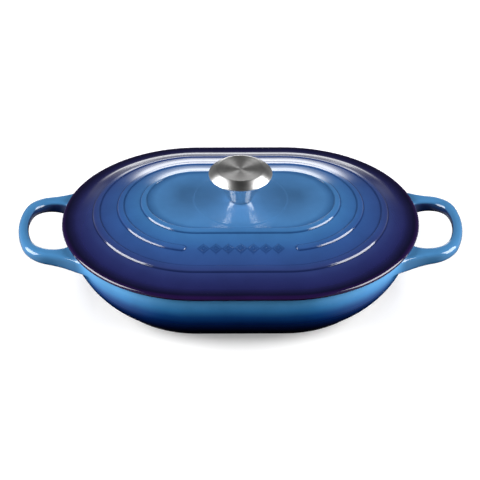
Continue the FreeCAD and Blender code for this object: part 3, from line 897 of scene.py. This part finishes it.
def softbox(name, azimuth, elevation, distance, width, height, radiance, colour=(1, 1, 1)):
    """Area light that faces the object. Azimuth 0 is at the front, 90 at the right."""
    light = bpy.data.lights.new(name, "AREA")
    light.shape = "RECTANGLE"
    light.size = width
    light.size_y = height
    light.energy = radiance * width * height * math.pi
    light.color = colour
    box = bpy.data.objects.new(name, light)
    bpy.context.scene.collection.objects.link(box)
    turn, rise = math.radians(azimuth), math.radians(elevation)
    away = Vector((math.sin(turn) * math.cos(rise), -math.cos(turn) * math.cos(rise),
                   math.sin(rise)))
    box.location = AIM + away * distance
    box.rotation_mode = "QUATERNION"
    box.rotation_quaternion = away.to_track_quat("Z", "Y")
    box.visible_camera = False


def make_world():
    """Bright low down behind the object, dim overhead and in front, dark below, with a table
    that the side lights brighten at its two ends."""
    world = bpy.data.worlds.new("studio")
    bpy.context.scene.world = world
    world.use_nodes = True
    tree = world.node_tree

    def math_node(operation, *values):
        node = tree.nodes.new("ShaderNodeMath")
        node.operation = operation
        for value, socket in zip(values, node.inputs):
            if isinstance(value, float):
                socket.default_value = value
            else:
                tree.links.new(value, socket)
        return node.outputs[0]

    def step(value, low, high):
        """0 at low and 1 at high, eased between them."""
        node = tree.nodes.new("ShaderNodeMapRange")
        node.interpolation_type = "SMOOTHSTEP"
        node.inputs["From Min"].default_value = low
        node.inputs["From Max"].default_value = high
        tree.links.new(value, node.inputs["Value"])
        return node.outputs[0]

    place = tree.nodes.new("ShaderNodeTexCoord")
    axes = tree.nodes.new("ShaderNodeSeparateXYZ")
    tree.links.new(place.outputs["Generated"], axes.inputs[0])
    sideways = math_node("ABSOLUTE", axes.outputs["X"])
    rise = tree.nodes.new("ShaderNodeValToRGB")
    while len(rise.color_ramp.elements) < len(BACKDROP):
        rise.color_ramp.elements.new(0.5)
    for element, (height, level) in zip(rise.color_ramp.elements, BACKDROP):
        element.position = (height + 1) / 2
        element.color = (level, level, level, 1)
    tree.links.new(math_node("MULTIPLY_ADD", axes.outputs["Z"], 0.5, 0.5), rise.inputs[0])
    behind = math_node("MULTIPLY", step(axes.outputs["Y"], *BACK_REACH),
                       step(sideways, *BACK_WIDTH))
    backdrop = math_node("MULTIPLY", rise.outputs[0],
                         math_node("MULTIPLY_ADD", behind, 1 - BACK_SPILL, BACK_SPILL))
    ends = math_node("MULTIPLY", step(sideways, *TABLE_ENDS),
                     step(axes.outputs["Z"], *TABLE_HORIZON))
    light = math_node("MULTIPLY_ADD", ends, TABLE_GLOW, backdrop)
    tree.links.new(light, tree.nodes["Background"].inputs["Color"])


FLOOR_GLOW = 0.19
TABLE_GLOW = 0.3
BACK_REACH = (0.92, 0.985)  # how far backward a direction points, where the backdrop begins
BACK_WIDTH = (0.25, 0.13)  # how far sideways it points, where the backdrop ends
BACK_SPILL = 0.05  # what is left of the backdrop's light outside that
TABLE_ENDS = (0.25, 0.65)  # how far sideways a direction points, where the table brightens
TABLE_HORIZON = (0.02, -0.08)
BACKDROP = [  # (height of the direction, from -1 to 1, radiance behind the object)
    (-1.0, 0.02), (-0.35, 0.05), (-0.06, 0.6), (0.0, 3.6), (0.09, 3.8), (0.17, 1.6),
    (0.26, 0.8), (0.44, 0.6), (0.57, 0.3), (0.70, 0.06), (1.0, 0.03),
]
AIM = Vector((-0.0005, 0.0, 0.050))
CAMERA_DISTANCE = 3.0
CAMERA_ELEVATION = 34.5
CAMERA_AZIMUTH = -0.3
CAMERA_LENS = 231.75


def make_camera():
    data = bpy.data.cameras.new("camera")
    data.lens = CAMERA_LENS
    data.sensor_width = 36.0
    camera = bpy.data.objects.new("camera", data)
    bpy.context.scene.collection.objects.link(camera)
    turn, rise = math.radians(CAMERA_AZIMUTH), math.radians(CAMERA_ELEVATION)
    away = Vector((math.sin(turn) * math.cos(rise), -math.cos(turn) * math.cos(rise),
                   math.sin(rise)))
    camera.location = AIM + away * CAMERA_DISTANCE
    camera.rotation_mode = "QUATERNION"
    camera.rotation_quaternion = away.to_track_quat("Z", "Y")
    bpy.context.scene.camera = camera


make_floor()
softbox("side_left", -82, 26, 2.4, 2.0, 1.9, 10.0)
softbox("side_right", 82, 26, 2.4, 2.0, 1.9, 10.0)
make_world()
make_camera()
bpy.context.scene.view_settings.view_transform = "Standard"
